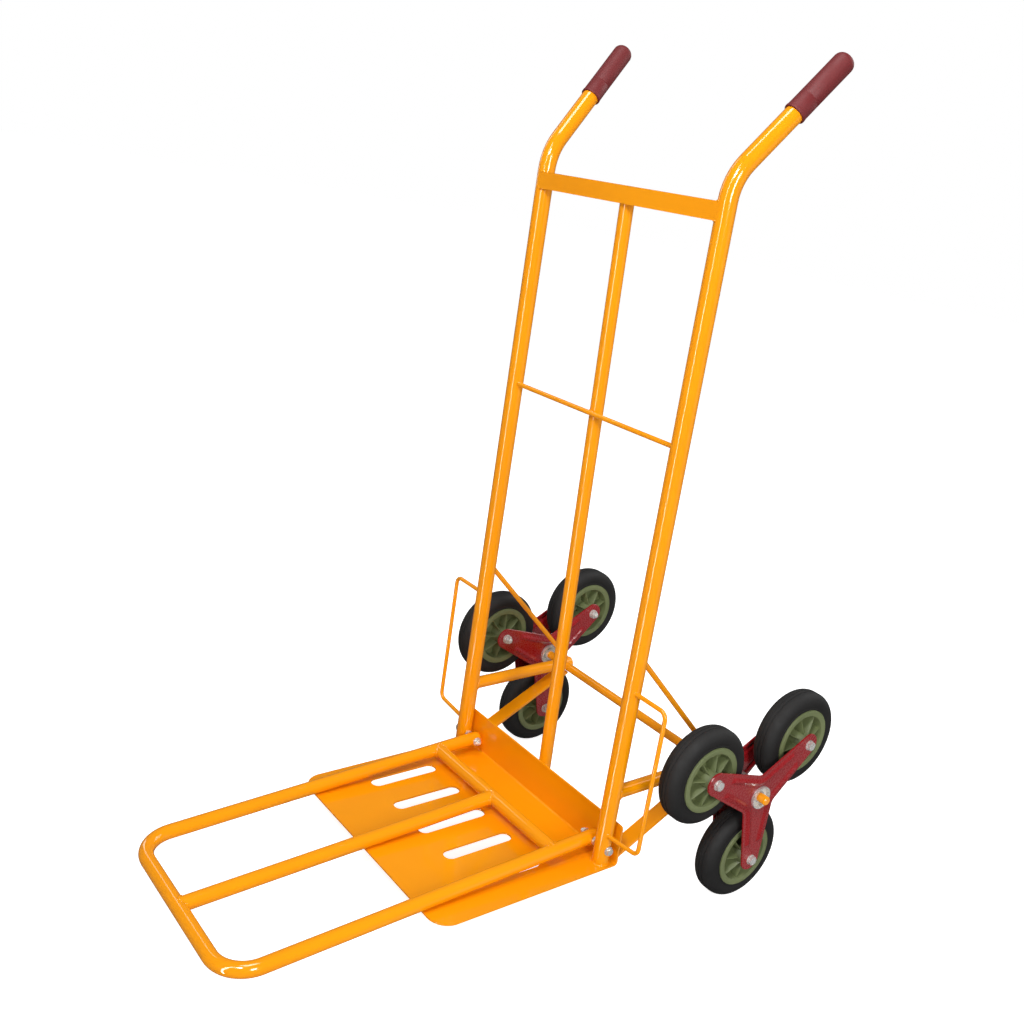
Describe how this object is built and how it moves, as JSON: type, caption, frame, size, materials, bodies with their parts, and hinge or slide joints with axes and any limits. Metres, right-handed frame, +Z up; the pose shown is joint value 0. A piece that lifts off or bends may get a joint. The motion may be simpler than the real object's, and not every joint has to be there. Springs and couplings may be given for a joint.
{
  "type": "stair climbing trolley",
  "caption": "Two-wheel-cluster hand trolley with toe plate, folding tubular toe extension, bent handles and wheel clusters that turn to climb stairs.",
  "frame": {"origin": "on the floor, under the middle of the overall box", "axes": "+Z up, +X to the trolley's right, -Y to the front where the toe plate points, so a user stands at +Y"},
  "size_m": [0.603, 0.9354, 1.2055],
  "materials": {
    "frame_paint": "glossy orange-yellow powder coat",
    "star_paint": "glossy dark red powder coat on pressed steel",
    "grip": "dark red moulded rubber, slightly glossy",
    "tyre": "matt black solid rubber",
    "rim": "sage grey moulded plastic",
    "bush": "off-white nylon",
    "zinc": "bright zinc plate"
  },
  "bodies": {
    "frame": {"left_upright": "frame_paint", "left_grip": "grip", "left_strut": "frame_paint", "left_brace": "frame_paint", "left_stay": "frame_paint", "left_guard": "frame_paint", "right_upright": "frame_paint", "right_grip": "grip", "right_strut": "frame_paint", "right_brace": "frame_paint", "right_stay": "frame_paint", "right_guard": "frame_paint", "top_bar": "frame_paint", "centre_tube": "frame_paint", "cross_rod": "frame_paint", "toe_plate": "frame_paint", "axle": "frame_paint", "axle_collars": "zinc", "axle_clips": "zinc", "pivot_bolts": "zinc", "pivot_nuts": "zinc", "pivot_washers": "zinc"},
    "extension": {"extension_loop": "frame_paint", "extension_centre_tube": "frame_paint", "extension_cross_tube": "frame_paint", "rail_end_caps": "frame_paint"},
    "left_cluster": {"left_outer_star": "star_paint", "left_inner_star": "star_paint", "left_hub_tube": "zinc", "left_hub_bushes": "bush", "left_wheel_bolts": "zinc", "left_wheel_nuts": "zinc", "left_wheel_washers": "zinc", "left_wheel_sleeves": "zinc"},
    "left_low_wheel": {"left_low_tyre": "tyre", "left_low_rim": "rim", "left_low_bush": "bush"},
    "left_rear_wheel": {"left_rear_tyre": "tyre", "left_rear_rim": "rim", "left_rear_bush": "bush"},
    "left_front_wheel": {"left_front_tyre": "tyre", "left_front_rim": "rim", "left_front_bush": "bush"},
    "right_cluster": {"right_outer_star": "star_paint", "right_inner_star": "star_paint", "right_hub_tube": "zinc", "right_hub_bushes": "bush", "right_wheel_bolts": "zinc", "right_wheel_nuts": "zinc", "right_wheel_washers": "zinc", "right_wheel_sleeves": "zinc"},
    "right_low_wheel": {"right_low_tyre": "tyre", "right_low_rim": "rim", "right_low_bush": "bush"},
    "right_rear_wheel": {"right_rear_tyre": "tyre", "right_rear_rim": "rim", "right_rear_bush": "bush"},
    "right_front_wheel": {"right_front_tyre": "tyre", "right_front_rim": "rim", "right_front_bush": "bush"}
  },
  "joints": [
    {"name": "extension_hinge", "type": "hinge", "parent": "frame", "child": "extension", "pos_m": [0, 0.11032, 0.08202], "axis": [-1, 0, 0], "range_deg": [0, 93]},
    {"name": "left_cluster_spin", "type": "hinge", "parent": "frame", "child": "left_cluster", "pos_m": [-0.2555, 0.30559, 0.18627], "axis": [1, 0, 0], "continuous": true},
    {"name": "left_low_wheel_spin", "type": "hinge", "parent": "left_cluster", "child": "left_low_wheel", "pos_m": [-0.2555, 0.3241, 0.075], "axis": [1, 0, 0], "continuous": true},
    {"name": "left_rear_wheel_spin", "type": "hinge", "parent": "left_cluster", "child": "left_rear_wheel", "pos_m": [-0.2555, 0.3927, 0.25794], "axis": [1, 0, 0], "continuous": true},
    {"name": "left_front_wheel_spin", "type": "hinge", "parent": "left_cluster", "child": "left_front_wheel", "pos_m": [-0.2555, 0.19997, 0.22587], "axis": [1, 0, 0], "continuous": true},
    {"name": "right_cluster_spin", "type": "hinge", "parent": "frame", "child": "right_cluster", "pos_m": [0.2555, 0.30559, 0.18627], "axis": [1, 0, 0], "continuous": true},
    {"name": "right_low_wheel_spin", "type": "hinge", "parent": "right_cluster", "child": "right_low_wheel", "pos_m": [0.2555, 0.3241, 0.075], "axis": [1, 0, 0], "continuous": true},
    {"name": "right_rear_wheel_spin", "type": "hinge", "parent": "right_cluster", "child": "right_rear_wheel", "pos_m": [0.2555, 0.3927, 0.25794], "axis": [1, 0, 0], "continuous": true},
    {"name": "right_front_wheel_spin", "type": "hinge", "parent": "right_cluster", "child": "right_front_wheel", "pos_m": [0.2555, 0.19997, 0.22587], "axis": [1, 0, 0], "continuous": true}
  ]
}
